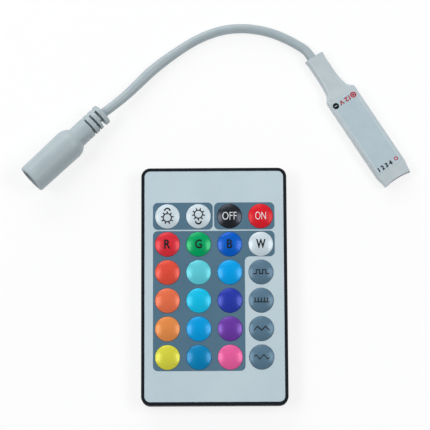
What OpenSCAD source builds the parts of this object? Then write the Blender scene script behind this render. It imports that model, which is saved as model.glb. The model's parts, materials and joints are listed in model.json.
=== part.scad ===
// In-line controller for colour LED strips: a receiver in a shrink sleeve with a moulded
// power socket on a short lead, and a thin card remote with domed keys and a battery drawer.
// Origin: middle of the remote's back face, +Z out of the keys, +Y towards the remote's top.

/* [Remote case] */
// Corner radius of the case
corner_r = 3.2; // [2.6:0.1:4.5]
// Width of the rim round the front film
rim_w = 1.1; // [1:0.05:1.3]
// Fillet round the back edge
back_fillet = 0.9; // [0.4:0.1:1]
// Fillet round the front edge
front_fillet = 0.4; // [0.2:0.1:0.5]
// Floor of the back shell
back_floor = 1; // [0.8:0.1:1.2]
// Deck of the front shell under the film
deck_t = 0.7; // [0.5:0.05:1]
// Depth of the front film below the rim
film_recess = 0.35; // [0.25:0.05:0.5]
// Thickness of the front film
film_t = 0.2; // [0.1:0.05:0.25]

/* [Keys] */
// Number of key columns
key_cols = 4; // [4]
// Number of key rows
key_rows = 6; // [6]
// Radius of a key
key_r = 4.4; // [4:0.1:5]
// Space between key columns
key_space_x = 2.3; // [1:0.1:3]
// Space between key rows
key_space_y = 1.3; // [0.8:0.1:2.5]
// Space from the outer keys to the side of the remote
key_side = 4.95; // [4.5:0.05:6]
// Space from the first row of keys to the remote's top
key_head = 13.15; // [8:0.05:18]
// Space from the last row of keys to the remote's foot
key_foot = 12.55; // [8:0.05:18]
// Height of a key's dome
key_dome_h = 1; // [0.8:0.05:1.3]
// Travel of a key
key_travel = 0.2; // [0.15:0.01:0.25]
// Gap round a key
key_gap = 0.1; // [0.08:0.01:0.2]
// Radius of the key's plunger
plunger_r = 1.6; // [1:0.1:2]
// Radius of a snap dome
snap_r = 3; // [2.5:0.1:3.4]
// Height of a snap dome
snap_h = 0.25; // [0.2:0.01:0.3]

/* [Remote board] */
// Thickness of the remote's circuit board
board_t = 0.8; // [0.6:0.1:1]
// Radius of the posts under the board
post_r = 1.5; // [1.2:0.1:1.6]
// Radius of the pin on each post
post_pin_r = 0.7; // [0.5:0.05:0.8]

/* [Battery drawer] */
// Diameter of the coin cell
cell_d = 20; // [20]
// Thickness of the coin cell
cell_t = 2.5; // [2.3:0.1:2.6]
// How far the drawer's rim is below the cell's upper face
tray_drop = 0.1; // [0:0.05:0.3]
// Wall of the drawer beside the cell
tray_wall = 1.2; // [1:0.1:1.5]
// Gap round the drawer
tray_clear = 0.15; // [0.1:0.01:0.2]
// Thickness of the drawer's end that closes the slot
tray_head_t = 1.4; // [1.2:0.1:1.8]
// How far the drawer's end is wider than its body, each side
tray_shoulder = 0.8; // [0.6:0.1:1.2]

/* [Receiver sleeve] */
// Wall of the shrink sleeve
sleeve_wall = 0.2; // [0.15:0.01:0.3]
// Length of the neck round the lead
neck_l = 9; // [8:0.1:12]
// Width of the neck
neck_w = 7.2; // [6.8:0.1:7.6]
// Length of the flare from the neck to the full width
flare_l = 8; // [6:0.1:10]
// Gap between the sleeve and the sides of its circuit board
sleeve_side_gap = 0.4; // [0.3:0.05:0.8]
// Gap between the sleeve and the top of the output header
sleeve_top_gap = 0.26; // [0.2:0.02:0.8]
// Corner radius of the sleeve over the board
sleeve_corner_r = 0.9; // [0.7:0.05:0.95]
// Length of the narrowed output end
output_l = 4.2; // [3.8:0.1:6]
// Depth of the hollow cut of the output mouth
output_dip = 0.6; // [0:0.1:0.8]

/* [Receiver board] */
// Length of the receiver's circuit board
rx_board_l = 32.4; // [30:0.1:45]
// How far the board is wider than the output header, each side
rx_board_edge = 0.32; // [0.2:0.02:0.8]
// Thickness of the receiver's circuit board
rx_board_t = 1; // [0.8:0.1:1.6]
// Pin pitch of the output header
header_pitch = 2.54; // [2.54]
// Number of pins of the output header
header_pins = 4; // [4]
// Length of the output header
header_l = 8.5; // [8:0.1:10]

/* [Lead] */
// Diameter of the lead
lead_d = 3.4; // [3:0.1:3.6]
// Diameter of a wire in the lead
wire_d = 1.2; // [1:0.1:1.3]
// Distance from the end of the sheath to the end of the flare
tail_back = 4.5; // [3:0.1:6]

/* [Power socket] */
// Overall length of the moulded socket
socket_l = 35.3; // [34.6:0.1:38]
// Radius of the barrel at its shoulder
barrel_r = 5.65; // [5.5:0.05:6]
// Radius of the barrel at its mouth
mouth_r = 5.4; // [5.2:0.05:5.6]
// Radius of the arc that rounds the shoulder
shoulder_r = 2.6; // [2.4:0.1:2.8]
// Distance from the end flange to the barrel's full radius
barrel_s = 15.7; // [15.4:0.1:16.2]
// Radius of the smooth neck behind the barrel
socket_neck_r = 3.9; // [3.6:0.05:3.95]
// Radius of the end flange
flange_r = 4; // [3.9:0.05:4.1]
// Thickness of the end flange
flange_t = 1.9; // [1.6:0.1:2]
// Width of a slot in the strain relief
slot_w = 0.75; // [0.5:0.05:0.9]
// Distance between slots of the strain relief
slot_pitch = 2.4; // [2.2:0.05:2.4]
// Radius of the strain relief's core
core_r = 2; // [1.9:0.1:2.6]
// Radius of the webs that bridge the slots
web_r = 3.55; // [3.3:0.05:3.7]
// Radius of the socket's bore
bore_r = 2.85; // [2.75:0.01:2.9]
// Depth of the socket's bore
bore_depth = 9.5; // [9:0.1:10.5]
// Radius of the centre pin
pin_r = 1; // [0.9:0.01:1.05]
// Depth of the pin's tip below the insert's face
pin_recess = 1; // [0.5:0.1:1.5]

/* [Hidden] */
$fn = 64;

// Overrun of cuts, and the hairline gap between seated pieces
over = 0.5;
seat_gap = 0.02;

// Heights in the remote, from the back face up
tray_z = back_floor + tray_clear;
tray_ledge = 0.3;
tray_t = tray_ledge + cell_t - tray_drop;
cell_z = tray_z + tray_ledge;
contact_room = 0.3;
board_z = cell_z + cell_t + contact_room;
board_top = board_z + board_t;
deck_z = board_top + snap_h + 0.6 * snap_h;
deck_top = deck_z + deck_t;
handset_t = deck_top + film_recess;
key_z = deck_top + key_travel + key_travel / 4;
slot_top = tray_z + tray_t + tray_clear;
slot_bridge = 0.4;
split_z = slot_top + slot_bridge;
lap_h = 0.6;
lap_t = rim_w / 2;
board_gap = 0.2;

// Key field, which sets the width and length of the remote
key_pitch_x = 2 * key_r + key_space_x;
key_pitch_y = 2 * key_r + key_space_y;
key_edge_r = 1.1 * key_dome_h;
key_draft = 20;
handset_w = key_cols * key_pitch_x - key_space_x + 2 * key_side;
handset_l = key_rows * key_pitch_y - key_space_y + key_head + key_foot;
function key_x(col) = (col - (key_cols - 1) / 2) * key_pitch_x;
function key_y(row) = ((key_rows - 1) / 2 - row) * key_pitch_y + (key_foot - key_head) / 2;

// Plan places in the remote
pocket_r = cell_d / 2 + 0.1 * tray_wall;
cell_y = -handset_l / 2 + tray_head_t + 0.75 * tray_wall + pocket_r;
tray_half = pocket_r + tray_wall;
arm_reach = 0.6 * pocket_r;
rail_t = 1;
rail_clear = 0.25;
post_inset_shares = [0.86, 0.85];
post_rows_shares = [-1, 0.02, 1];
leaf_t = 0.15;
leaf_w = 3;
plus_leaf_w = 4;
copper_t = 0.05;
copper_w = 0.6;

// Parts on both boards
chip_l = 5;
chip_w = 4;
chip_h = 1.5;
low_chip_h = 1.1;
part_l = 1.6;
part_w = 0.8;
part_h = 0.6;
can_w = 5;
can_h = 1.5;
can_lip = 0.3;
crystal_l = 3.2;
crystal_w = 2.5;
crystal_h = 0.8;
aerial_r = 0.3;

// Receiver: place on the surface, turn, and the lead's entry beside the neck's middle
receiver_at = [37, 84.2];
receiver_turn = -57.4;
neck_shift = -0.4;
lead_y = -1.2;
neck_gap = 0.1;
neck_lift = 0.1;
// The cut end of the neck is spread a little
neck_spread = 0.5;
neck_h = lead_d + 2 * (neck_gap + sleeve_wall);
neck_mid_z = neck_lift + neck_h / 2;
shoulder_x = neck_l + flare_l;
tail_l = shoulder_x - tail_back;
label_t = 0.08;

// Receiver: sleeve fitted to the board, and its mouth to the header
rx_board_gap = 0.1;
rx_start_gap = 0.4;
rx_end_gap = 0.2;
mouth_side_gap = 0.07;
mouth_top_gap = 0.08;
header_w = header_pitch * header_pins;
rx_board_w = header_w + 2 * rx_board_edge;
rx_board_z = sleeve_wall + rx_board_gap;
rx_top = rx_board_z + rx_board_t;
rx_board_x = shoulder_x + rx_start_gap;
sleeve_w = rx_board_w + 2 * (sleeve_side_gap + sleeve_wall);
sleeve_h = rx_top + header_pitch + sleeve_top_gap + sleeve_wall;
output_x = rx_board_x + rx_board_l + rx_end_gap;
output_w = header_w + 2 * (mouth_side_gap + sleeve_wall);
output_h = header_pitch + 2 * (mouth_top_gap + sleeve_wall);
output_mid_z = rx_top + header_pitch / 2;
sleeve_l = output_x + output_l;
header_x = sleeve_l - output_dip - header_l;
mosfet_back = 4.4;
rx_run = header_x - mosfet_back - rx_board_x;
rx_part_gap = 0.5;
rf_share = 0.37;
wire_pad_share = 0.2;

// Share along the flare, against share of the widening from neck to board
flare_shares = [[0.12, 0.03], [0.25, 0.07], [0.4, 0.11], [0.55, 0.19], [0.7, 0.3],
  [0.82, 0.55], [0.92, 0.85], [1, 1]];
// Share along the output end, against share of the narrowing to the mouth
output_shares = [[0.28, 0.38], [0.56, 0.78], [0.8, 0.96], [1, 1]];

// Power socket: place of its end flange, turn on the surface, and tilt on its shoulder, where
// the stiff lead holds it
socket_at = [-40, 63];
socket_turn = 223.9;
socket_tilt = 3.3;
socket_z = shoulder_r + (barrel_r - shoulder_r) * cos(socket_tilt)
  - barrel_s * sin(socket_tilt);
insert_gap = 0.05;
insert_wall = 1.05;
insert_r = bore_r + insert_wall;
insert_recess = 1;
insert_s = socket_l - insert_recess - bore_depth - 4 * pin_r;
pin_tail_r = 0.8 * pin_r;
moulding_lip = 0.3;
spring_w = 1.2 * pin_r;
spring_t = 0.2;
// Slots of the strain relief: place along the relief in pitches, start and end angles seen
// from the mouth, where 90 is up
relief_slot_shares = [[0.25, [[-90, 140]]], [1.2, [[18, 142], [198, 322]]],
  [2.2, [[18, 142], [198, 322]]]];
side_notch_shares = [3.05, [-80, 0]];

// Route of the lead on the surface, from the socket's flange to the neck
lead_points = [[-35.7, 66.4, 4.3], [-31.5, 70.1, 3.6], [-27.6, 74, 2.9], [-23.7, 78, 2.3],
  [-19.5, 81.7, 1.9], [-15.2, 85, 1.7], [-10.7, 88.1, 1.7], [-6, 90.9, 1.7],
  [-1, 93.1, 1.7], [4.3, 94.6, 1.7], [9.8, 95.1, 1.7], [15.2, 94.7, 1.7],
  [20.6, 93.5, 1.7], [25.7, 91.5, 1.7], [30.3, 89, 1.8], [33.6, 86.7, 2]];
lead_sides = 8;

// Colours
white_plastic = "#bcc8cf";
case_black = "#23262b";
film_silver = "#bccdd6";
slate = "#5f7888";
board_green = "#2c6b4a";
tin = "#c9ccd0";
chip_black = "#26282b";

// Plan outlines

module rounded_rect(w, l, r) {
  square([w - 2 * r, l], center = true);
  square([w, l - 2 * r], center = true);
  for (x = [-1, 1], y = [-1, 1]) translate([x * (w / 2 - r), y * (l / 2 - r)]) circle(r);
}

module plate(w, l, t, r) {
  linear_extrude(t) rounded_rect(w, l, r);
}

// Half section of a wall height t whose lower outer edge is rounded by f
module filleted_half(half, t, f) {
  translate([0, f]) square([half, t - f]);
  square([half - f, t]);
  translate([half - f, f]) circle(f);
}

module filleted_section(half, t, f) {
  filleted_half(half, t, f);
  mirror([1, 0]) filleted_half(half, t, f);
}

// Rounded block whose lower outer edge is rounded
module filleted_block(w, l, t, r, f) {
  rotate([90, 0, 0]) translate([0, 0, -(l / 2 - r)]) linear_extrude(l - 2 * r)
    filleted_section(w / 2, t, f);
  rotate([90, 0, 90]) translate([0, 0, -(w / 2 - r)]) linear_extrude(w - 2 * r)
    filleted_section(l / 2, t, f);
  for (x = [-1, 1], y = [-1, 1]) translate([x * (w / 2 - r), y * (l / 2 - r), 0])
    rotate_extrude() intersection() {
      filleted_half(r, t, f);
      square([r, t]);
    }
}

module at_posts() {
  for (x = [-1, 1], y = post_rows_shares)
    translate([x * post_inset_shares[0] * handset_w / 2,
      y * post_inset_shares[1] * handset_l / 2, 0]) children();
}

// Remote

module case_back() {
  slot_half = tray_half + tray_shoulder + tray_clear;
  color(case_black) difference() {
    union() {
      difference() {
        filleted_block(handset_w, handset_l, split_z, corner_r, back_fillet);
        translate([0, 0, back_floor])
          plate(handset_w - 2 * rim_w, handset_l - 2 * rim_w, split_z, corner_r - rim_w);
        translate([0, 0, split_z - lap_h])
          plate(handset_w - 2 * lap_t, handset_l - 2 * lap_t, split_z, corner_r - lap_t);
      }
      at_posts() cylinder(h = board_z, r = post_r);
      at_posts() cylinder(h = deck_z - seat_gap, r = post_pin_r);
      drawer_rails();
    }
    translate([-slot_half, -handset_l / 2 - over, back_floor])
      cube([2 * slot_half, over + rim_w, slot_top - back_floor]);
    translate([0, -handset_l / 2 - corner_r / 2, -over])
      cylinder(h = over + back_floor / 2, r = 2 * corner_r);
  }
}

module drawer_rails() {
  rail_h = board_z - rail_clear - back_floor;
  rail_l = cell_y + pocket_r + handset_l / 2 - rim_w + tray_wall;
  foot_y = -handset_l / 2 + tray_head_t + tray_clear;
  for (side = [-1, 1])
    translate([side * (tray_half + tray_clear + rail_t / 2) - rail_t / 2, foot_y, back_floor])
      cube([rail_t, rail_l, rail_h]);
  translate([-tray_half - tray_clear, foot_y + rail_l - rail_t, back_floor])
    cube([2 * (tray_half + tray_clear), rail_t, rail_h]);
}

module case_front() {
  front_h = handset_t - split_z;
  color(case_black) difference() {
    union() {
      translate([0, 0, handset_t]) mirror([0, 0, 1])
        filleted_block(handset_w, handset_l, front_h, corner_r, front_fillet);
      lap_tongue();
    }
    difference() {
      translate([0, 0, split_z - over - lap_h])
        plate(handset_w - 2 * rim_w, handset_l - 2 * rim_w, deck_z - split_z + over + lap_h,
          corner_r - rim_w);
      at_posts() translate([0, 0, board_top]) cylinder(h = deck_z, r = post_r);
    }
    translate([0, 0, deck_top])
      plate(handset_w - 2 * rim_w, handset_l - 2 * rim_w, over + film_recess,
        corner_r - rim_w);
    at_posts() translate([0, 0, board_top - over])
      cylinder(h = over + deck_z - board_top, r = post_pin_r + key_gap);
    for (col = [0:key_cols - 1], row = [0:key_rows - 1])
      translate([key_x(col), key_y(row), deck_z - over])
        cylinder(h = over + deck_top, r = plunger_r + 2 * key_gap);
  }
}

// Tongue of the front shell that laps inside the back shell, open over the drawer
module lap_tongue() {
  clear = lap_t + seat_gap;
  difference() {
    translate([0, 0, split_z - lap_h + seat_gap])
      plate(handset_w - 2 * clear, handset_l - 2 * clear, lap_h, corner_r - clear);
    translate([-tray_half - 2 * tray_shoulder, -handset_l / 2, split_z - 2 * lap_h])
      cube([2 * tray_half + 4 * tray_shoulder, 2 * rim_w, 2 * lap_h]);
  }
}

module front_film() {
  margin = rim_w + key_gap;
  color(film_silver) translate([0, 0, deck_top]) difference() {
    plate(handset_w - 2 * margin, handset_l - 2 * margin, film_t, corner_r - margin);
    for (col = [0:key_cols - 1], row = [0:key_rows - 1])
      translate([key_x(col), key_y(row), -over]) cylinder(h = film_t + 2 * over, r = key_r + key_gap);
  }
}

// Half profile of a key's dome: a large crown arc that runs into a small edge arc
module dome_half() {
  edge_x = key_r - key_edge_r * cos(key_draft);
  edge_drop = key_edge_r * sin(key_draft);
  rise = key_dome_h + edge_drop;
  crown_r = (pow(edge_x, 2) + pow(rise, 2) - pow(key_edge_r, 2)) / (2 * (rise - key_edge_r));
  join_x = edge_x * crown_r / (crown_r - key_edge_r);
  intersection() {
    translate([0, key_dome_h - crown_r]) circle(crown_r, $fn = 256);
    square([join_x, key_dome_h]);
  }
  intersection() {
    translate([edge_x, -edge_drop]) circle(key_edge_r);
    square([key_r, key_dome_h]);
  }
}

module key(col, row, tint) {
  color(tint) translate([key_x(col), key_y(row), 0]) {
    translate([0, 0, key_z]) rotate_extrude() dome_half();
    translate([0, 0, board_top + snap_h + seat_gap])
      cylinder(h = key_z - board_top - snap_h - seat_gap, r = plunger_r);
  }
}

module handset_board() {
  margin = rim_w + board_gap;
  color(board_green) translate([0, 0, board_z]) difference() {
    plate(handset_w - 2 * margin, handset_l - 2 * margin, board_t, corner_r - margin);
    at_posts() translate([0, 0, -over]) cylinder(h = board_t + 2 * over, r = post_pin_r + key_gap);
  }
}

// Thin spherical snap dome standing on the board
module snap_dome() {
  sheet = 0.4 * snap_h;
  shell_r = (pow(snap_r, 2) + pow(snap_h, 2)) / (2 * snap_h);
  rotate_extrude() intersection() {
    translate([0, snap_h - shell_r]) difference() {
      circle(shell_r, $fn = 256);
      circle(shell_r - sheet, $fn = 256);
    }
    square([snap_r, snap_h]);
  }
}

module snap_domes() {
  color(tin) for (col = [0:key_cols - 1], row = [0:key_rows - 1])
    translate([key_x(col), key_y(row), board_top]) snap_dome();
}

// Moulded chip lying on z = 0: body, and rows of gull-wing legs along both long sides
module chip(l, w, h, legs) {
  pitch = l / legs;
  leg_w = 0.35 * pitch;
  leg_out = 0.22 * w;
  leg_t = 0.12 * h;
  color(chip_black) translate([-l / 2, -w / 2, leg_t]) cube([l, w, h - leg_t]);
  color(tin) for (side = [-1, 1], k = [0:legs - 1])
    translate([(k + 0.5) * pitch - l / 2, side * (w + leg_out) / 2, 0]) {
      translate([0, 0, leg_t / 2]) cube([leg_w, leg_out, leg_t], center = true);
      translate([0, -side * leg_out / 2, 0.3 * h])
        cube([leg_w, 2 * leg_t, 0.6 * h], center = true);
    }
}

// Two-ended small part lying on z = 0
module small_part(l, w, h) {
  cap_share = 0.22;
  color("#8a8f93") translate([0, 0, h / 2])
    cube([l * (1 - 2 * cap_share), 0.94 * w, 0.9 * h], center = true);
  color(tin) for (side = [-1, 1]) translate([side * l * (1 - cap_share) / 2, 0, h / 2])
    cube([l * cap_share, w, h], center = true);
}

// Turns a part over so that it hangs under the remote's board
module under_board(x_share, y_share) {
  translate([x_share * handset_w, y_share * handset_l, board_z]) mirror([0, 0, 1]) children();
}

module encoder_chip() {
  under_board(-0.13, 0.22) chip(chip_l, chip_w, chip_h, 4);
}

// Drawn metal can with a flange round its foot
module can(l, w, h) {
  translate([0, 0, can_lip / 2]) cube([l, w, can_lip], center = true);
  translate([0, 0, h / 2]) cube([l - 2 * can_lip, w - 2 * can_lip, h], center = true);
}

module resonator_can() {
  color(tin) under_board(0.2, 0.26) can(can_w, can_w, can_h);
}

module handset_passives() {
  for (k = [0:4]) under_board(0.02, 0.2 + 0.03 * k) small_part(part_l, part_w, part_h);
  for (k = [0:3]) under_board(0.12 + 0.05 * k, 0.17) rotate([0, 0, 90])
    small_part(part_l, part_w, part_h);
}

// Copper loop under the board's top edge that radiates the signal
module loop_antenna() {
  color("#b87333") under_board(0, 0.38) linear_extrude(copper_t) difference() {
    rounded_rect(0.7 * handset_w, 0.11 * handset_l, corner_r);
    rounded_rect(0.7 * handset_w - 2 * copper_w, 0.11 * handset_l - 2 * copper_w,
      corner_r - copper_w);
    translate([0, -0.055 * handset_l]) square([2 * copper_w, 4 * copper_w], center = true);
  }
}

// Leaf that dips from a pad under the board to the middle of the cell's upper face
module cell_contact_minus() {
  touch_z = cell_z + cell_t + seat_gap;
  out = cell_d / 2;
  pad = 1.5 * leaf_w;
  color(tin) translate([0, cell_y + leaf_w / 2, 0]) rotate([90, 0, 0]) linear_extrude(leaf_w)
    polygon([[out + pad, board_z], [out, board_z], [leaf_w / 2, touch_z + leaf_t],
      [-leaf_w / 2, touch_z + leaf_t], [-leaf_w, touch_z + leaf_t + leaf_t / 2],
      [-leaf_w, touch_z + leaf_t / 2], [-leaf_w / 2, touch_z], [leaf_w / 2, touch_z],
      [out, board_z - leaf_t], [out + pad, board_z - leaf_t]]);
}

// Leaf that stands down from the board behind the drawer and presses the cell's rim
module cell_contact_plus() {
  face_y = cell_y + cell_d / 2 + seat_gap;
  color(tin) translate([-plus_leaf_w / 2, face_y, 0]) {
    translate([0, 0, cell_z + cell_t / 4]) cube([plus_leaf_w, leaf_t, board_z - cell_z - cell_t / 4]);
    translate([0, 0, board_z - leaf_t]) cube([plus_leaf_w, rail_t, leaf_t]);
  }
}

module battery_tray() {
  head_half = tray_half + tray_shoulder;
  grip_r = 0.3 * tray_head_t;
  foot_y = -handset_l / 2;
  color(case_black) difference() {
    union() {
      translate([-head_half, foot_y, tray_z]) cube([2 * head_half, rim_w - tray_clear, tray_t]);
      translate([-tray_half, foot_y, tray_z])
        cube([2 * tray_half, cell_y + arm_reach - foot_y, tray_t]);
    }
    translate([0, cell_y, cell_z]) cylinder(h = tray_t, r = pocket_r);
    translate([0, cell_y, tray_z - over]) cylinder(h = tray_t, r = pocket_r - tray_wall);
    for (k = [-3:3]) translate([k * 5 * grip_r, foot_y, tray_z - over])
      cylinder(h = tray_t + 2 * over, r = grip_r);
  }
}

// Coin cell with its smaller negative cap upwards
module coin_cell() {
  step_h = 0.1 * cell_t;
  cap_r = 0.86 * cell_d / 2;
  bevel = 0.12 * cell_t;
  color(tin) translate([0, cell_y, cell_z]) rotate_extrude() polygon([[0, 0],
    [cell_d / 2 - bevel, 0], [cell_d / 2, bevel], [cell_d / 2, cell_t - 2 * step_h],
    [cell_d / 2 - step_h, cell_t - step_h], [cap_r, cell_t - step_h], [cap_r, cell_t],
    [0, cell_t]]);
}

// Receiver, drawn along X from the neck's mouth

module at_receiver() {
  translate([receiver_at[0], receiver_at[1], 0]) rotate([0, 0, receiver_turn]) children();
}

function mix(a, b, t) = a + (b - a) * t;

// Stations of the sleeve: [x, width, height, corner radius, middle across, middle height, dip]
neck_corner_r = 0.49 * neck_h;
output_corner_r = sleeve_wall + 0.3 * sleeve_corner_r;
function flare_station(x, t) = [x, mix(neck_w, sleeve_w, t), mix(neck_h, sleeve_h, t),
  mix(neck_corner_r, sleeve_corner_r, t), mix(neck_shift, 0, t),
  mix(neck_mid_z, sleeve_h / 2, t), 0];
function output_station(x, t) = [x, mix(sleeve_w, output_w, t), mix(sleeve_h, output_h, t),
  mix(sleeve_corner_r, output_corner_r, t), 0, mix(sleeve_h / 2, output_mid_z, t),
  output_dip * max(0, (t - 0.5) * 2)];
end_station = [0, neck_w + neck_spread, neck_h, neck_corner_r, neck_shift, neck_mid_z, 0];
sleeve_stations = concat([end_station, flare_station(4 * neck_spread, 0), flare_station(neck_l, 0)],
  [for (s = flare_shares) flare_station(mix(neck_l, shoulder_x, s[0]), s[1])],
  [output_station(output_x, 0)],
  [for (s = output_shares) output_station(mix(output_x, sleeve_l, s[0]), s[1])]);

corner_steps = 7;
// One ring of the sleeve, inset by a wall
function sleeve_ring(s, inset) =
  let(half = s[1] / 2 - inset, up = s[2] / 2 - inset, r = s[3] - inset)
  [for (c = [0:3], k = [0:corner_steps])
    let(a = 90 * (c + k / corner_steps),
      sy = c == 0 || c == 3 ? 1 : -1,
      sz = c < 2 ? 1 : -1,
      y = sy * (half - r) + r * cos(a),
      z = sz * (up - r) + r * sin(a))
    [s[0] - s[6] * (1 - pow(y / half, 2)), s[4] + y, s[5] + z]];

module shrink_sleeve() {
  n = len(sleeve_stations);
  m = 4 * (corner_steps + 1);
  points = concat([for (s = sleeve_stations) each sleeve_ring(s, 0)],
    [for (s = sleeve_stations) each sleeve_ring(s, sleeve_wall)]);
  inner = n * m;
  faces = concat(
    [for (i = [0:n - 2], j = [0:m - 1]) let(a = i * m + j, b = i * m + (j + 1) % m)
      each [[a, a + m, b], [b, a + m, b + m]]],
    [for (i = [0:n - 2], j = [0:m - 1])
      let(a = inner + i * m + j, b = inner + i * m + (j + 1) % m)
      each [[a, b, a + m], [b, b + m, a + m]]],
    [for (j = [0:m - 1]) let(k = (j + 1) % m) each [[j, k, inner + j], [k, inner + k, inner + j]]],
    [for (j = [0:m - 1]) let(k = (j + 1) % m, e = (n - 1) * m)
      each [[e + j, inner + e + j, e + k], [e + k, inner + e + j, inner + e + k]]]);
  color(white_plastic) at_receiver() polyhedron(points, faces);
}

module rating_label() {
  label_l = output_x - shoulder_x - 2 * sleeve_corner_r;
  label_w = sleeve_w - 2 * sleeve_corner_r;
  color("#d3dfe6") at_receiver() translate([(output_x + shoulder_x) / 2, 0, sleeve_h])
    plate(label_l, label_w, label_t, sleeve_corner_r);
}

module receiver_board() {
  color(board_green) at_receiver() translate([rx_board_x, -rx_board_w / 2, rx_board_z])
    cube([rx_board_l, rx_board_w, rx_board_t]);
}

// Places a part on the receiver's board at shares of its free run and its width
module on_rx_board(x_share, y_share) {
  at_receiver() translate([rx_board_x + x_share * rx_run, y_share * rx_board_w, rx_top])
    children();
}

module output_mosfets() {
  for (k = [-1:1]) on_rx_board(1, 0.31 * k) chip(2.4 * part_w, 2 * part_w, low_chip_h, 2);
}

module micro_controller() {
  on_rx_board(0.67, -0.1) chip(chip_l, chip_w, chip_h, 4);
}

module rf_receiver_chip() {
  on_rx_board(rf_share, 0.02) chip(chip_l, 0.85 * chip_w, chip_h, 4);
}

module crystal_can() {
  color(tin) on_rx_board(rf_share, -0.36) translate([(chip_l - crystal_l) / 2, 0, 0])
    can(crystal_l, crystal_w, crystal_h);
}

module voltage_regulator() {
  back = crystal_l - chip_l / 2 + rx_part_gap + part_l;
  on_rx_board(rf_share, -0.33) translate([-back, 0, 0]) chip(2 * part_l, 2 * part_w, low_chip_h, 3);
}

module receiver_passives() {
  for (k = [0:3]) on_rx_board(0.53 + 0.085 * k, 0.37) rotate([0, 0, 90])
    small_part(part_l, part_w, part_h);
  for (k = [0:2]) on_rx_board(0.88, 0.3 * (k - 1)) rotate([0, 0, 90])
    small_part(part_l, part_w, part_h);
}

// Enamelled wire that stands on the board's edge as the receiver's aerial
module receiver_antenna() {
  run_share = 0.42;
  color("#b5532c") on_rx_board(0.02, 0.42) {
    translate([0, 0, 2 * aerial_r]) rotate([0, 90, 0])
      cylinder(h = run_share * rx_run, r = aerial_r);
    for (x = [0, run_share * rx_run]) translate([x, 0, 0]) {
      cylinder(h = 2 * aerial_r, r = aerial_r);
      translate([0, 0, 2 * aerial_r]) sphere(aerial_r);
    }
  }
}

header_bevel = 0.3;
contact_w = 1;
contact_h = 1.3;
header_floor = 1.5;
function header_y(k) = (k - (header_pins - 1) / 2) * header_pitch;

module output_header() {
  h = header_pitch;
  w = header_w / 2;
  b = header_bevel;
  color(chip_black) at_receiver() translate([header_x, 0, rx_top]) difference() {
    rotate([90, 0, 90]) linear_extrude(header_l)
      polygon([[-w + b, 0], [w - b, 0], [w, b], [w, h - b], [w - b, h], [-w + b, h],
        [-w, h - b], [-w, b]]);
    for (k = [0:header_pins - 1])
      translate([header_floor, header_y(k) - contact_w / 2, (h - contact_h) / 2])
        cube([header_l, contact_w, contact_h]);
  }
}

// Twin leaves in each cavity of the header
module header_contacts() {
  leaf = contact_h / 8;
  color("#c8a24a") at_receiver() for (k = [0:header_pins - 1], side = [-1, 1])
    translate([header_x + header_floor, header_y(k) - 0.4 * contact_w,
      rx_top + header_pitch / 2 + side * (contact_h / 2 - leaf) - leaf / 2])
      cube([header_l - 2 * header_floor, 0.8 * contact_w, leaf]);
}

module lead_tail() {
  color(white_plastic) at_receiver() translate([0, lead_y, neck_mid_z]) rotate([0, 90, 0])
    cylinder(h = tail_l, r = lead_d / 2);
}

// One wire from the sheath's end down to its pad on the board
module wire(side, tint) {
  from = [tail_l + wire_d / 3, lead_y + side * 0.55 * wire_d, neck_mid_z];
  to = [rx_board_x + wire_d, side * wire_pad_share * rx_board_w, rx_top + 0.7 * wire_d];
  run = to - from;
  strand_r = 0.3 * wire_d;
  color(tint) at_receiver() {
    translate(from) rotate([0, acos(run[2] / norm(run)), atan2(run[1], run[0])])
      cylinder(h = norm(run), r = wire_d / 2);
    translate([to[0] - strand_r, to[1], rx_top + strand_r]) rotate([0, 90, 0])
      cylinder(h = 2 * wire_d, r = strand_r);
  }
}

module wire_positive() {
  wire(1, "#c8202c");
}

module wire_negative() {
  wire(-1, "#202225");
}

// Lead and power socket

// Ring of the lead round a point, square to a direction
function lead_ring(p, d) =
  let(u = d / norm(d), side = cross([0, 0, 1], u), e1 = side / norm(side), e2 = cross(u, e1))
  [for (k = [0:lead_sides - 1]) let(a = 360 * (k + 0.5) / lead_sides)
    p + lead_d / 2 / cos(180 / lead_sides) * (cos(a) * e1 + sin(a) * e2)];

module power_lead() {
  start = [socket_at[0], socket_at[1], socket_z];
  away = [-cos(socket_turn) * cos(socket_tilt), -sin(socket_turn) * cos(socket_tilt),
    -sin(socket_tilt)];
  inward = [cos(receiver_turn), sin(receiver_turn), 0];
  stop = [receiver_at[0] - lead_y * sin(receiver_turn),
    receiver_at[1] + lead_y * cos(receiver_turn), neck_mid_z];
  route = concat([start], lead_points, [stop]);
  n = len(route);
  points = [for (i = [0:n - 1]) each lead_ring(route[i],
    i == 0 ? away : i == n - 1 ? inward : route[i + 1] - route[i - 1])];
  faces = concat([[for (j = [0:lead_sides - 1]) j]],
    [[for (j = [lead_sides - 1:-1:0]) (n - 1) * lead_sides + j]],
    [for (i = [0:n - 2], j = [0:lead_sides - 1])
      let(a = i * lead_sides + j, b = i * lead_sides + (j + 1) % lead_sides)
      each [[a, a + lead_sides, b], [b, a + lead_sides, b + lead_sides]]]);
  color(white_plastic) polyhedron(points, faces);
}

// Frame of the socket: Z from the end flange to the mouth, X up
module at_socket() {
  translate([socket_at[0], socket_at[1], socket_z]) rotate([0, 0, socket_turn])
    rotate([0, 90 - socket_tilt, 0]) rotate([0, 0, 180]) children();
}

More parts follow.
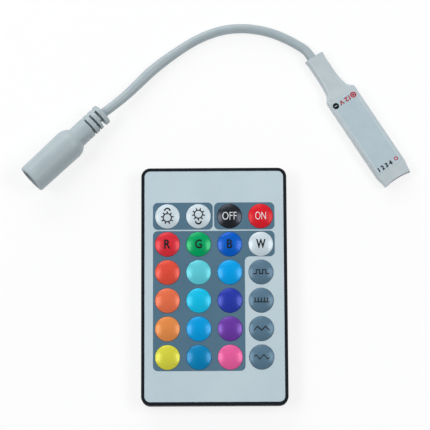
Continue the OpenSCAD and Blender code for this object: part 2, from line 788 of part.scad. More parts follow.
// Half outline of the moulding, radius against distance from the end flange
module moulding_half() {
  arc_mid = barrel_r - shoulder_r;
  polygon([[0, 0], [flange_r - moulding_lip, 0], [flange_r, moulding_lip],
    [flange_r, flange_t], [socket_neck_r, flange_t], [socket_neck_r, barrel_s],
    [barrel_r, barrel_s], [mouth_r, socket_l - moulding_lip],
    [mouth_r - moulding_lip, socket_l], [0, socket_l]]);
  intersection() {
    translate([arc_mid, barrel_s]) circle(shoulder_r);
    translate([0, barrel_s - shoulder_r]) square([barrel_r, shoulder_r]);
  }
}

module ring_sector(inner, outer, from, to) {
  rotate([0, 0, from]) rotate_extrude(angle = to - from)
    translate([inner, 0]) square([outer - inner, slot_w]);
}

module socket_moulding() {
  far = max(flange_r, socket_neck_r) + over;
  cavity_r = insert_r + insert_gap;
  color(white_plastic) at_socket() difference() {
    rotate_extrude() moulding_half();
    for (slot = relief_slot_shares) translate([0, 0, flange_t + (slot[0] - 0.25) * slot_pitch]) {
      difference() {
        cylinder(h = slot_w, r = far);
        translate([0, 0, -over]) cylinder(h = slot_w + 2 * over, r = web_r);
      }
      for (span = slot[1]) ring_sector(core_r, far, span[0] - 90, span[1] - 90);
    }
    translate([0, 0, flange_t + side_notch_shares[0] * slot_pitch])
      ring_sector(web_r, far, side_notch_shares[1][0] - 90, side_notch_shares[1][1] - 90);
    translate([0, 0, insert_s - insert_gap]) cylinder(h = socket_l, r = cavity_r);
  }
}

module socket_insert() {
  face_s = socket_l - insert_recess;
  color(chip_black) at_socket() difference() {
    translate([0, 0, insert_s]) cylinder(h = face_s - insert_s, r = insert_r);
    translate([0, 0, face_s - bore_depth]) cylinder(h = bore_depth + over, r = bore_r);
    translate([0, 0, insert_s - over]) cylinder(h = socket_l, r = pin_tail_r + seat_gap);
    translate([-insert_r + insert_gap * 4, -spring_w / 2 - insert_gap, face_s - bore_depth])
      cube([insert_r, spring_w + 2 * insert_gap, bore_depth - pin_recess]);
  }
}

module socket_pin() {
  nose = pin_r / 2;
  tip_s = socket_l - insert_recess - pin_recess;
  foot_s = socket_l - insert_recess - bore_depth;
  color("#d8c27a") at_socket() rotate_extrude() {
    translate([0, insert_s]) square([pin_tail_r, foot_s + nose - insert_s]);
    translate([0, foot_s]) square([pin_r, tip_s - nose - foot_s]);
    translate([0, foot_s]) square([pin_r - nose, tip_s - foot_s]);
    intersection() {
      translate([pin_r - nose, tip_s - nose]) circle(nose);
      translate([0, tip_s - nose]) square([pin_r, nose]);
    }
  }
}

// Bowed leaf in the bore's lower side that presses the plug's sleeve
module socket_spring() {
  base = -insert_r + 6 * insert_gap;
  from = socket_l - insert_recess - bore_depth + insert_gap;
  run = bore_depth - pin_recess - 2 * insert_gap;
  bow = insert_r - bore_r - 0.1 * bore_r;
  color(tin) at_socket() translate([0, spring_w / 2, from]) rotate([90, 0, 0])
    linear_extrude(spring_w) polygon([[base, 0], [base + bow, 0.45 * run],
      [base + bow, 0.65 * run], [base + 0.3 * bow, run], [base + 0.3 * bow + spring_t, run],
      [base + bow + spring_t, 0.65 * run], [base + bow + spring_t, 0.45 * run],
      [base + spring_t, 0]]);
}

case_back();
case_front();
front_film();
key(0, 0, "#dde6ea");  // key_brighter
key(1, 0, "#dde6ea");  // key_dimmer
key(2, 0, "#26242c");  // key_off
key(3, 0, "#d8222e");  // key_on
key(0, 1, "#d7303c");  // key_red
key(1, 1, "#00a060");  // key_green
key(2, 1, "#045cc4");  // key_blue
key(3, 1, "#dde6ea");  // key_white
key(0, 2, "#e0503e");  // key_vermilion
key(1, 2, "#62c8d6");  // key_turquoise
key(2, 2, "#069fe8");  // key_sky_blue
key(3, 2, slate);  // key_flash
key(0, 3, "#e5714c");  // key_coral
key(1, 3, "#18b8e4");  // key_cyan
key(2, 3, "#2a3ba6");  // key_indigo
key(3, 3, slate);  // key_strobe
key(0, 4, "#e28c4c");  // key_amber
key(1, 4, "#0a98d8");  // key_azure
key(2, 4, "#6a3aa0");  // key_violet
key(3, 4, slate);  // key_fade
key(0, 5, "#d6d048");  // key_yellow
key(1, 5, "#1183b4");  // key_teal
key(2, 5, "#e8619f");  // key_pink
key(3, 5, slate);  // key_smooth
handset_board();
snap_domes();
encoder_chip();
resonator_can();
handset_passives();
loop_antenna();
cell_contact_minus();
cell_contact_plus();
battery_tray();
coin_cell();
shrink_sleeve();
rating_label();
receiver_board();
output_mosfets();
micro_controller();
rf_receiver_chip();
crystal_can();
voltage_regulator();
receiver_passives();
receiver_antenna();
output_header();
header_contacts();
lead_tail();
wire_positive();
wire_negative();
power_lead();
socket_moulding();
socket_insert();
socket_pin();
socket_spring();
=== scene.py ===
"""LED strip controller: a card remote with domed keys, and a sleeved in-line receiver with a
moulded power socket on a short white lead. New pieces are modelled in millimetres in the frame
of what carries them, and are then put in their place in the model."""

import contextlib
import json
import math

import bmesh
import bpy
from mathutils import Matrix, Vector


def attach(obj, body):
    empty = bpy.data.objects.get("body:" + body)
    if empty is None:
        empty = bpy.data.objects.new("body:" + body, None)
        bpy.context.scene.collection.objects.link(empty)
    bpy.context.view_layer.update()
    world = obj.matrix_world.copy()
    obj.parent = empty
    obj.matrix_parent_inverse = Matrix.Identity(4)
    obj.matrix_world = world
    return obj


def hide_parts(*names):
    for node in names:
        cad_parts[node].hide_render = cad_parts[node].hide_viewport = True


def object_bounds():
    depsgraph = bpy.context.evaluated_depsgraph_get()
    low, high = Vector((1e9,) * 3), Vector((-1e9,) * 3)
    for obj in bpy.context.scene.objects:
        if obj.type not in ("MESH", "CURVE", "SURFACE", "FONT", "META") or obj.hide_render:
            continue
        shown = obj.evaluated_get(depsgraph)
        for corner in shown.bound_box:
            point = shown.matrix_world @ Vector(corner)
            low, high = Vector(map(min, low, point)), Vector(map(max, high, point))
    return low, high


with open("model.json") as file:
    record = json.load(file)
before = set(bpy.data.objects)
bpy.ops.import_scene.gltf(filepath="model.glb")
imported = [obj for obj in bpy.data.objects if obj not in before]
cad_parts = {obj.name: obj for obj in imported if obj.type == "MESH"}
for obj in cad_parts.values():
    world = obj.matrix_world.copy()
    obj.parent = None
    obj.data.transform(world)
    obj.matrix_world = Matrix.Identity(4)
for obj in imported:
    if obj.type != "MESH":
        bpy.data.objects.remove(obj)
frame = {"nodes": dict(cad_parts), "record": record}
cad_low, cad_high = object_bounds()

# A millimetre in metres. All other lengths are in millimetres, unless a comment says otherwise
MM = 0.001
# Vertices closer than this are one
MERGE = 0.0005
# How far a cutting tool reaches past what it cuts
OVERRUN = 1
# Faces of a CAD solid that turn less than this many degrees are one flat face
FLAT_ANGLE = 0.5
nodes = frame["nodes"]
mounts = {m["name"]: m for m in frame["record"]["mounts"]}


# Places, each a matrix from a local frame in millimetres to the model in metres


def place(at, z_axis, x_axis):
    """Frame at a point, with Z along z_axis and X as near x_axis as it can be."""
    z = Vector(z_axis).normalized()
    x = (Vector(x_axis) - Vector(x_axis).dot(z) * z).normalized()
    turn = Matrix((x, z.cross(x), z)).transposed().to_4x4()
    return Matrix.Translation(at) @ turn @ Matrix.Scale(MM, 4)


def local_box(node, where):
    """Lowest and highest corner of a CAD node in a local frame, in millimetres."""
    back = where.inverted()
    points = [back @ v.co for v in nodes[node].data.vertices]
    low = Vector([min(p[i] for p in points) for i in range(3)])
    high = Vector([max(p[i] for p in points) for i in range(3)])
    return low, high


UP = (0, 0, 1)
# The remote's back lies at the model's origin
REMOTE = Matrix.Scale(MM, 4)
# The socket's Z runs from the flange to the mouth, and its X points up
plug = mounts["power_plug_pin"]
SOCKET = place(plug["pos_m"], plug["axis"], UP)
SOCKET = SOCKET @ Matrix.Translation((0, 0, local_box("socket_moulding", SOCKET)[0].z))
# The receiver's X runs from the sleeve's neck to its output
output = mounts["strip_output"]
RECEIVER = place((output["pos_m"][0], output["pos_m"][1], 0), UP, output["axis"])
RECEIVER = RECEIVER @ Matrix.Translation((local_box("shrink_sleeve", RECEIVER)[0].x, 0, 0))


# Camera at the photograph's viewing angle, from the keystone of the remote

IMAGE_PX = 430
FOCAL_PX = 2005.7
SENSOR_MM = 36
CAMERA_AT = (3.1, -91.7, 713.5)
# In degrees
CAMERA_PITCH, CAMERA_YAW, CAMERA_ROLL = 9.40, 0.27, -0.32

aim = Matrix.Rotation(math.radians(CAMERA_ROLL), 3, "Z")
aim = aim @ Matrix.Rotation(math.radians(CAMERA_PITCH), 3, "X")
aim = aim @ Matrix.Rotation(math.radians(CAMERA_YAW), 3, "Y")
bpy.ops.object.camera_add(location=Vector(CAMERA_AT) * MM, rotation=aim.to_euler())
camera = bpy.context.object
camera.data.sensor_width = SENSOR_MM
camera.data.lens = FOCAL_PX / IMAGE_PX * SENSOR_MM
bpy.context.scene.camera = camera


# Lead: laid along its route, in millimetres in the model

LEAD_D = 3.4
LEAD_ROUTE = [(-35.7, 66.4, 4.3), (-31.5, 70.1, 3.6), (-27.6, 74, 2.9), (-23.7, 78, 2.3),
              (-19.5, 81.7, 1.9), (-15.2, 85, 1.7), (-10.7, 88.1, 1.7), (-6, 90.9, 1.7),
              (-1, 93.1, 1.7), (4.3, 94.6, 1.7), (9.8, 95.1, 1.7), (15.2, 94.7, 1.7),
              (20.6, 93.5, 1.7), (25.7, 91.5, 1.7), (30.3, 89, 1.8), (33.6, 86.7, 2)]
# The sheath is a little swollen where it was bent: shares of its size at points of the route
LEAD_SWELL_SHARES = {1: 1.04, 2: 1.1, 3: 1.14, 4: 1.1, 5: 1.04}
# How finely the sheath is divided round itself, and along itself from point to point
LEAD_ROUND, LEAD_ALONG = 7, 6


def lead_curve():
    """The sheath as one open smooth curve from the socket's flange to the sleeve's neck."""
    tail_low, tail_high = local_box("lead_tail", RECEIVER)
    tail = (tail_low + tail_high) / 2
    start = SOCKET.translation / MM
    stop = RECEIVER @ Vector((0, tail.y, tail.z)) / MM
    points = [start, *LEAD_ROUTE, stop]
    swells = [1, *(LEAD_SWELL_SHARES.get(i, 1) for i in range(len(LEAD_ROUTE))), 1]
    data = bpy.data.curves.new("lead_sheath", "CURVE")
    data.dimensions = "3D"
    data.bevel_depth = 1
    data.bevel_resolution = LEAD_ROUND
    data.resolution_u = LEAD_ALONG
    data.use_fill_caps = True
    spline = data.splines.new("BEZIER")
    spline.bezier_points.add(len(points) - 1)
    for knot, at, swell in zip(spline.bezier_points, points, swells):
        lift = Vector((0, 0, LEAD_D / 2 * (swell - 1)))
        knot.co = (Vector(at) + lift) * MM
        # The real radius, in metres, because the curve's own box is grown by it
        knot.radius = LEAD_D / 2 * swell * MM
        knot.handle_left_type = "AUTO"
        knot.handle_right_type = "AUTO"
    lead = bpy.data.objects.new("lead_sheath", data)
    bpy.context.scene.collection.objects.link(lead)
    length = sum((Vector(b) - Vector(a)).length for a, b in zip(points, points[1:])) * MM
    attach(lead, "handset")
    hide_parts("power_lead")
    return lead, stop * MM, length


lead, lead_exit, lead_length = lead_curve()


# Modelling helpers


def alone(piece):
    """Makes the piece the active one, and the only one selected."""
    bpy.ops.object.select_all(action="DESELECT")
    bpy.context.view_layer.objects.active = piece
    piece.select_set(True)


@contextlib.contextmanager
def shaping(piece):
    """Edit mode on one piece alone, with nothing selected in it."""
    alone(piece)
    bpy.ops.object.mode_set(mode="EDIT")
    bpy.ops.mesh.select_mode(type="VERT")
    bpy.ops.mesh.select_all(action="DESELECT")
    yield
    bpy.ops.object.mode_set(mode="OBJECT")
    piece.select_set(False)


def select_faces(piece, test):
    """Selects the faces of the piece in edit mode that pass a test."""
    bpy.ops.mesh.select_all(action="DESELECT")
    bpy.ops.mesh.select_mode(type="FACE")
    form = bmesh.from_edit_mesh(piece.data)
    for face in form.faces:
        if test(face):
            face.select_set(True)
    bmesh.update_edit_mesh(piece.data)


def started(name, adder, **options):
    """A primitive under its name."""
    adder(**options)
    piece = bpy.context.object
    piece.name = name
    return piece


def apply(piece, kind, **settings):
    """Adds a modifier, sets it and applies it."""
    alone(piece)
    modifier = piece.modifiers.new(kind.lower(), kind)
    for setting, value in settings.items():
        setattr(modifier, setting, value)
    bpy.ops.object.modifier_apply(modifier=modifier.name)


def combine(piece, tool, operation, **settings):
    """Boolean of a piece with a tool, which is used up."""
    apply(piece, "BOOLEAN", object=tool, operation=operation, solver="EXACT", **settings)
    bpy.data.objects.remove(tool)


def joined(pieces, name):
    """Several pieces as one mesh."""
    alone(pieces[0])
    for piece in pieces:
        piece.select_set(True)
    bpy.ops.object.join()
    pieces[0].name = name
    return pieces[0]


def smoothed(piece, angle=32):
    """Smooth shading with the edges sharper than an angle kept."""
    alone(piece)
    bpy.ops.object.shade_smooth_by_angle(angle=math.radians(angle))
    return piece


def eased(piece, width, segments=2, angle=35):
    """Small round edges where faces meet at more than an angle."""
    apply(piece, "BEVEL", width=width, segments=segments, limit_method="ANGLE",
          angle_limit=math.radians(angle), use_clamp_overlap=True)
    return piece


def grounded(piece):
    """Moves the object's own place into its mesh."""
    alone(piece)
    bpy.ops.object.transform_apply()
    return piece


def copied(piece, name):
    """Another piece of the same form with a mesh of its own."""
    twin = piece.copy()
    twin.data = piece.data.copy()
    twin.name = name
    bpy.context.scene.collection.objects.link(twin)
    return twin


def arc(middle, radius, start, end, steps):
    """Points of an arc in the (radius, height) plane, angles in degrees."""
    turns = [math.radians(start + (end - start) * i / steps) for i in range(steps + 1)]
    return [(middle[0] + radius * math.cos(a), middle[1] + radius * math.sin(a)) for a in turns]


def closed_up():
    """Merges the doubles of the whole mesh in edit mode and turns its faces outward."""
    bpy.ops.mesh.select_all(action="SELECT")
    bpy.ops.mesh.remove_doubles(threshold=MERGE)
    bpy.ops.mesh.normals_make_consistent(inside=False)


def one_vertex(at):
    """Merges the plane in edit mode into one selected vertex at a point."""
    bpy.ops.mesh.select_all(action="SELECT")
    bpy.ops.mesh.merge(type="CENTER")
    bpy.ops.transform.translate(value=at)


def spun(name, profile, steps=96):
    """A turned solid: one vertex is stepped along a profile of (radius, height) and spun."""
    piece = started(name, bpy.ops.mesh.primitive_plane_add)
    with shaping(piece):
        one_vertex((profile[0][0], 0, profile[0][1]))
        for (r0, z0), (r1, z1) in zip(profile, profile[1:]):
            step = (r1 - r0, 0, z1 - z0)
            bpy.ops.mesh.extrude_region_move(TRANSFORM_OT_translate={"value": step})
        bpy.ops.mesh.select_all(action="SELECT")
        bpy.ops.mesh.spin(steps=steps, angle=2 * math.pi, center=(0, 0, 0), axis=(0, 0, 1))
        closed_up()
    return piece


def thickened(thickness):
    """Extrudes the flat mesh in edit mode upward into a closed plate."""
    bpy.ops.mesh.select_all(action="SELECT")
    bpy.ops.mesh.extrude_region_move(TRANSFORM_OT_translate={"value": (0, 0, thickness)})
    closed_up()


# Faces round the corner of a plate
CORNER_STEPS = 8


def plate(name, low, high, z, thickness, corner):
    """A flat plate between two plan corners, with rounded upright edges."""
    at = ((low[0] + high[0]) / 2, (low[1] + high[1]) / 2, z)
    piece = started(name, bpy.ops.mesh.primitive_plane_add, size=1)
    with shaping(piece):
        bpy.ops.mesh.select_all(action="SELECT")
        bpy.ops.transform.resize(value=(high[0] - low[0], high[1] - low[1], 1))
        bpy.ops.transform.translate(value=at)
        bpy.ops.mesh.bevel(offset=corner, segments=CORNER_STEPS, affect="VERTICES")
        thickened(thickness)
    return piece


def post(at, radius, low, high, vertices=64):
    """An upright cylinder, as a cutting tool or a dot."""
    return started("post", bpy.ops.mesh.primitive_cylinder_add, vertices=vertices,
                   radius=radius, depth=high - low, location=(at[0], at[1], (low + high) / 2))


def finish_with(piece, material):
    """Gives a piece its one material."""
    piece.data.materials.clear()
    piece.data.materials.append(material)


def settle(piece, where, body, material, slot, *replaced):
    """Puts a finished piece, made in a local frame, in its place on its body."""
    piece.data.transform(where)
    finish_with(piece, material)
    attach(piece, body)
    if replaced:
        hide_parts(*replaced)


# Materials


def srgb(code):
    """Linear colour of an sRGB hex value."""
    levels = [int(code[i:i + 2], 16) / 255 for i in (1, 3, 5)]
    linear = [v / 12.92 if v <= 0.04045 else ((v + 0.055) / 1.055) ** 2.4 for v in levels]
    return (*linear, 1)


def add(material, kind, links=(), **settings):
    """Adds a node, sets its properties and sockets, and links (from node, socket, to socket)."""
    node = material.node_tree.nodes.new(kind)
    for name, value in settings.items():
        if hasattr(node, name):
            setattr(node, name, value)
        else:
            node.inputs[name.replace("_", " ")].default_value = value
    for source, output_name, input_name in links:
        material.node_tree.links.new(source.outputs[output_name], node.inputs[input_name])
    return node


def new_material(name, roughness, **sockets):
    """A material with its principled shader, whose constants are set on its own sockets."""
    material = bpy.data.materials.new(name)
    material.use_nodes = True
    shader = material.node_tree.nodes["Principled BSDF"]
    shader.inputs["Roughness"].default_value = roughness
    for socket, value in sockets.items():
        shader.inputs[socket.replace("_", " ")].default_value = value
    return material, shader


# Where the drift of a colour starts and ends in the noise, and how far the roughness drifts
DRIFT_FROM, DRIFT_TO = 0.35, 0.65
ROUGHNESS_DRIFT = 0.05


def mottled(name, colour, variation, patch_mm, grain_mm, depth_mm, roughness, **sockets):
    """A surface whose colour drifts a little between two hex values in patches, whose roughness
    drifts with it, and whose grain is a shallow bump at a size in millimetres."""
    material, shader = new_material(name, roughness, **sockets)
    join = material.node_tree.links.new
    where = add(material, "ShaderNodeTexCoord")
    drift = add(material, "ShaderNodeTexNoise", [(where, "Object", "Vector")],
                Scale=1 / (patch_mm * MM), Detail=3.0)
    ramp = add(material, "ShaderNodeValToRGB", [(drift, "Fac", "Fac")])
    ramp.color_ramp.elements[0].position = DRIFT_FROM
    ramp.color_ramp.elements[0].color = srgb(variation)
    ramp.color_ramp.elements[1].position = DRIFT_TO
    ramp.color_ramp.elements[1].color = srgb(colour)
    join(ramp.outputs["Color"], shader.inputs["Base Color"])
    rough = add(material, "ShaderNodeMapRange", [(drift, "Fac", "Value")],
                To_Min=roughness - ROUGHNESS_DRIFT, To_Max=roughness + ROUGHNESS_DRIFT)
    join(rough.outputs["Result"], shader.inputs["Roughness"])
    grain = add(material, "ShaderNodeTexNoise", [(where, "Object", "Vector")],
                Scale=1 / (grain_mm * MM), Detail=2.0)
    bump = add(material, "ShaderNodeBump", [(grain, "Fac", "Height")],
               Strength=1.0, Distance=depth_mm * MM)
    join(bump.outputs["Normal"], shader.inputs["Normal"])
    return material


# Three sizes in millimetres come after the colours: the patches of the drift, the grain, which
# is drawn no finer than 0.1 so that it still shows, and the grain's depth

# Flexible PVC moulded over the socket: bluish white, satin, with a faint orange peel
moulded_pvc = mottled("moulded_pvc", "#abb9be", "#a7b5bb", 6, 0.5, 0.004, 0.42)
# Extruded PVC sheath: the same white, drawn smoother
extruded_pvc = mottled("extruded_pvc", "#a8b6bb", "#a4b2b8", 5, 0.7, 0.004, 0.38)
# Heat-shrunk polyolefin: satin white with soft patches where it gripped the parts
shrunk_polyolefin = mottled("shrunk_polyolefin", "#c0cbd0", "#bac6cb", 4, 0.6, 0.006, 0.36)
# Coated paper label under a clear face: cooler than the sleeve
coated_paper = mottled("coated_paper", "#b7c8d0", "#b1c3cc", 3, 0.25, 0.002, 0.4)
# Spark-eroded ABS: near black, and its texture breaks up every highlight
moulded_abs = mottled("moulded_abs", "#121a22", "#0f161d", 8, 0.12, 0.012, 0.55,
                      Specular_IOR_Level=0.15)
# Polyester film with a fine velvet texture, printed silver blue
velvet_film = mottled("velvet_film", "#c2d4dc", "#bed0d9", 12, 0.1, 0.003, 0.38)
# Slate screen ink on the same film, with the film's soft sheen
slate_ink = mottled("slate_ink", "#527489", "#4f7085", 10, 0.1, 0.003, 0.38)
# Moulded epoxy of the chips: dark grey, dull and gritty
moulded_epoxy = mottled("moulded_epoxy", "#2a2c2f", "#232528", 1, 0.1, 0.01, 0.55)
# Moulded nylon of the header and the insert: near black and a little waxy
moulded_nylon = mottled("moulded_nylon", "#24282c", "#1e2225", 3, 0.15, 0.01, 0.5)
# Glass epoxy under solder mask: glossy green, with the weave as a faint unevenness
solder_mask = mottled("solder_mask", "#2c6b4a", "#1f5a3c", 1.6, 0.4, 0.01, 0.3)
# Fired ceramic of the smallest parts: warm grey and matt
fired_ceramic = mottled("fired_ceramic", "#8f8a80", "#7d786f", 0.6, 0.1, 0.006, 0.5)
# Extruded insulation of the two wires: even colours with a satin skin
wire_red = mottled("wire_insulation_red", "#c8202c", "#b81a26", 2, 0.4, 0.004, 0.35)
wire_black = mottled("wire_insulation_black", "#202225", "#18191c", 2, 0.4, 0.004, 0.35)
# Tin plate: a bright, slightly cloudy grey
tin_plate = mottled("tin_plate", "#d3d6d9", "#bfc3c7", 2, 0.15, 0.004, 0.25, Metallic=1.0)
# Satin nickel of the cell's can: a soft, even shine
satin_nickel = mottled("satin_nickel", "#c9ccce", "#b9bdc0", 3, 0.1, 0.004, 0.32, Metallic=1.0)
# Flash gilt over nickel: a thin pale gold on the contacts
flash_gilt = mottled("flash_gilt", "#dcc47a", "#cfb468", 2, 0.2, 0.003, 0.22, Metallic=1.0)
# Bare drawn copper of the aerials: warm, with darker spots
bare_copper = mottled("bare_copper", "#c07a4a", "#a9683c", 2, 0.2, 0.004, 0.3, Metallic=1.0)
# Screen inks on the keys and the label: thin flat colours with little gloss
dark_ink = mottled("dark_ink", "#14191f", "#11161b", 2, 0.1, 0.001, 0.4,
                   Specular_IOR_Level=0.3)
white_ink = mottled("white_ink", "#eef3f6", "#e9eef2", 2, 0.1, 0.001, 0.35)
red_ink = mottled("red_ink", "#b82c36", "#b02630", 2, 0.1, 0.001, 0.4,
                  Specular_IOR_Level=0.3)
# Painted highlight: a pale colour for the line round the label's edge, which stands in for the
# light that edge catches
painted_edge_highlight = mottled("painted_edge_highlight", "#d8e1e5", "#d2dce1", 2, 0.1, 0.001, 0.4)

KEY_ROUGHNESS = 0.27
# How much of the domes' gloss stays white, and its level on the keys that are not in
# SHARED_SLOTS and on those that are
WHITE_GLOSS_SHARE = 0.25
OWN_GLOSS, SHARED_GLOSS = 0.8, 0.45
KEY_PATCH_MM = 1.5
KEY_SHADE_LOW, KEY_SHADE_HIGH = 0.97, 1.03


def key_ink(name, colour, gloss):
    """Screen ink under a domed key's clear face, whose soft gloss takes on some of the ink."""
    levels = srgb(colour)[:3]
    tint = [WHITE_GLOSS_SHARE + (1 - WHITE_GLOSS_SHARE) * v / max(levels) for v in levels]
    material, shader = new_material(name, KEY_ROUGHNESS, Specular_IOR_Level=gloss,
                                    Specular_Tint=(*tint, 1))
    where = add(material, "ShaderNodeTexCoord")
    drift = add(material, "ShaderNodeTexNoise", [(where, "Object", "Vector")],
                Scale=1 / (KEY_PATCH_MM * MM), Detail=2.0)
    level = add(material, "ShaderNodeMapRange", [(drift, "Fac", "Value")],
                To_Min=KEY_SHADE_LOW, To_Max=KEY_SHADE_HIGH)
    shade = add(material, "ShaderNodeHueSaturation", [(level, "Result", "Value")],
                Color=srgb(colour))
    material.node_tree.links.new(shade.outputs["Color"], shader.inputs["Base Color"])
    return material


NODE_FINISHES = {
    "case_back": moulded_abs, "case_front": moulded_abs, "battery_tray": moulded_abs,
    "front_film": velvet_film, "handset_board": solder_mask, "receiver_board": solder_mask,
    "snap_domes": tin_plate, "resonator_can": tin_plate, "crystal_can": tin_plate,
    "cell_contact_minus": tin_plate, "cell_contact_plus": tin_plate, "socket_spring": tin_plate,
    "coin_cell": satin_nickel, "encoder_chip": moulded_epoxy, "output_mosfets": moulded_epoxy,
    "micro_controller": moulded_epoxy, "rf_receiver_chip": moulded_epoxy,
    "voltage_regulator": moulded_epoxy, "handset_passives": fired_ceramic,
    "receiver_passives": fired_ceramic, "loop_antenna": bare_copper,
    "receiver_antenna": bare_copper, "shrink_sleeve": shrunk_polyolefin,
    "rating_label": coated_paper, "output_header": moulded_nylon, "socket_insert": moulded_nylon,
    "header_contacts": flash_gilt, "socket_pin": flash_gilt, "lead_tail": extruded_pvc,
    "wire_positive": wire_red, "wire_negative": wire_black, "power_lead": extruded_pvc,
    "socket_moulding": moulded_pvc}

for node_name, node_material in NODE_FINISHES.items():
    finish_with(nodes[node_name], node_material)
finish_with(lead, extruded_pvc)


# Prints: upright solids, which a key's dome cuts to a skin and the label takes as they are

# Where a key's prints start below its dome, and how tall they are before they are cut
PRINT_LOW, PRINT_TALL = 6.9, 1.5


def lettered(text, width, height, weight, z=PRINT_LOW, tall=PRINT_TALL):
    """Generic lettering in the built-in typeface, centred, at its measured size."""
    bpy.ops.object.text_add()
    piece = bpy.context.object
    piece.data.body = text
    piece.data.offset = weight
    piece.data.resolution_u = 4
    bpy.ops.object.convert(target="MESH")
    piece = bpy.context.object
    piece.name = "print"
    xs = [v.co.x for v in piece.data.vertices]
    ys = [v.co.y for v in piece.data.vertices]
    middle = (-(max(xs) + min(xs)) / 2, -(max(ys) + min(ys)) / 2, z)
    stretch = (width / (max(xs) - min(xs)), height / (max(ys) - min(ys)), 1)
    with shaping(piece):
        bpy.ops.mesh.select_all(action="SELECT")
        bpy.ops.transform.translate(value=middle)
        bpy.ops.transform.resize(value=stretch, center_override=(0, 0, 0))
        bpy.ops.mesh.remove_doubles(threshold=MERGE)
        thickened(tall)
    return piece


def bar(start, end, line, z=PRINT_LOW, tall=PRINT_TALL):
    """A straight printed stroke between two plan points."""
    run = Vector(end) - Vector(start)
    middle = (Vector(end) + Vector(start)) / 2
    bpy.ops.mesh.primitive_cube_add(size=1, location=(*middle, z + tall / 2),
                                    rotation=(0, 0, math.atan2(run.y, run.x)),
                                    scale=(run.length, line, tall))
    return grounded(bpy.context.object)


def hoop(at, radius, line, z=PRINT_LOW, tall=PRINT_TALL):
    """A printed ring whose line lies outside a radius."""
    ring = post(at, radius + line, z, z + tall)
    combine(ring, post(at, radius, z - OVERRUN, z + tall + OVERRUN), "DIFFERENCE")
    return grounded(ring)


def half_hoop(at, radius, line, side):
    """The upper (side 1) or lower (side -1) part of a printed ring."""
    ring = hoop(at, radius, line)
    reach = 2 * (radius + line)
    y = at[1] + side * reach / 2
    keep = bar((at[0] - reach, y), (at[0] + reach, y), reach, PRINT_LOW - OVERRUN,
               PRINT_TALL + 2 * OVERRUN)
    combine(ring, keep, "INTERSECT")
    return ring


def wave(points, line):
    """A printed wavy stroke: one vertex is stepped along points and the line is widened."""
    piece = started("print", bpy.ops.mesh.primitive_plane_add)
    with shaping(piece):
        one_vertex((points[0][0], points[0][1] - line / 2, PRINT_LOW))
        for (x0, y0), (x1, y1) in zip(points, points[1:]):
            step = (x1 - x0, y1 - y0, 0)
            bpy.ops.mesh.extrude_region_move(TRANSFORM_OT_translate={"value": step})
        bpy.ops.mesh.select_all(action="SELECT")
        bpy.ops.mesh.extrude_region_move(TRANSFORM_OT_translate={"value": (0, line, 0)})
        thickened(PRINT_TALL)
    return piece


# A sun: its ring, which lies off the key's middle, its rays, which start a little inside the
# ring's outer edge, and the pointer's arc
SUN_R, SUN_LINE, SUN_DROP = 1.25, 0.42, 0.6
RAYS, RAY, RAY_SUNK = 9, 0.66, 0.05
POINTER_AT, POINTER_R, POINTER_LINE = 1.85, 0.7, 0.55


def sun_mark(side):
    """A sun with short rays, and a pointer to one side: up for brighter, down for dimmer."""
    middle = -SUN_DROP * side
    root = SUN_R + SUN_LINE - RAY_SUNK
    tip = SUN_R + SUN_LINE + RAY
    marks = [hoop((0, middle), SUN_R, SUN_LINE)]
    for k in range(RAYS):
        a = math.radians(90 * side + 360 / RAYS * k)
        marks.append(bar((root * math.cos(a), middle + root * math.sin(a)),
                         (tip * math.cos(a), middle + tip * math.sin(a)), SUN_LINE))
    marks.append(half_hoop((0, side * POINTER_AT), POINTER_R, POINTER_LINE, side))
    return joined(marks, "print")


# Half the width of a mode key's mark, and half the height of its pulses and ramps
MARK_REACH, MARK_RISE = 2.8, 0.7


def pulse_mark():
    """Even square pulses, for flash."""
    line, pulses = 0.38, 5
    xs = [MARK_REACH * (2 * k / pulses - 1) for k in range(pulses + 1)]
    top = MARK_RISE + line / 2
    marks = []
    for k, (a, b) in enumerate(zip(xs, xs[1:])):
        y = MARK_RISE if k % 2 else -MARK_RISE
        marks.append(bar((a - line / 2, y), (b + line / 2, y), line))
    marks += [bar((x, -top), (x, top), line) for x in xs[1:-1]]
    return joined(marks, "print")


def spike_mark():
    """Narrow pulses on a line, for strobe."""
    base_line, spike_line, low, high = 0.36, 0.42, -0.6, 0.9
    spikes, pitch = 5, 1.1
    marks = [bar((-MARK_REACH, -MARK_RISE), (MARK_REACH, -MARK_RISE), base_line)]
    xs = [pitch * (k - (spikes - 1) / 2) for k in range(spikes)]
    marks += [bar((x, low), (x, high), spike_line) for x in xs]
    return joined(marks, "print")


def ramp_mark():
    """A slow rise and fall, for fade."""
    line, ramps = 0.55, 4
    return wave([(MARK_REACH * (2 * k / ramps - 1), MARK_RISE if k % 2 else -MARK_RISE)
                 for k in range(ramps + 1)], line)


def sine_mark():
    """A smooth wave, for smooth."""
    line, rise, steps = 0.48, 0.65, 32
    turns = [2 * k / steps - 1 for k in range(steps + 1)]
    return wave([(MARK_REACH * t, rise * math.sin(2 * math.pi * t)) for t in turns], line)


# Card remote

KEYS = {
    "key_brighter": "#cddbe3", "key_dimmer": "#cddbe3", "key_off": "#202228",
    "key_on": "#d8222e", "key_red": "#d7303c", "key_green": "#00a060", "key_blue": "#045cc4",
    "key_white": "#cddbe3", "key_vermilion": "#e0503e", "key_turquoise": "#60ccd9",
    "key_sky_blue": "#04a2ea", "key_flash": "#5a778b", "key_coral": "#e5714c",
    "key_cyan": "#14c0e8", "key_indigo": "#2a3ba6", "key_strobe": "#5a778b",
    "key_amber": "#e28c4c", "key_azure": "#059cdf", "key_violet": "#6a3aa0",
    "key_fade": "#5a778b", "key_yellow": "#d6d344", "key_teal": "#0782b9",
    "key_pink": "#e8619f", "key_smooth": "#5a778b"}
# The keys that choose a mode, each with its mark
MODE_MARKS = {"key_flash": pulse_mark, "key_strobe": spike_mark, "key_fade": ramp_mark,
              "key_smooth": sine_mark}
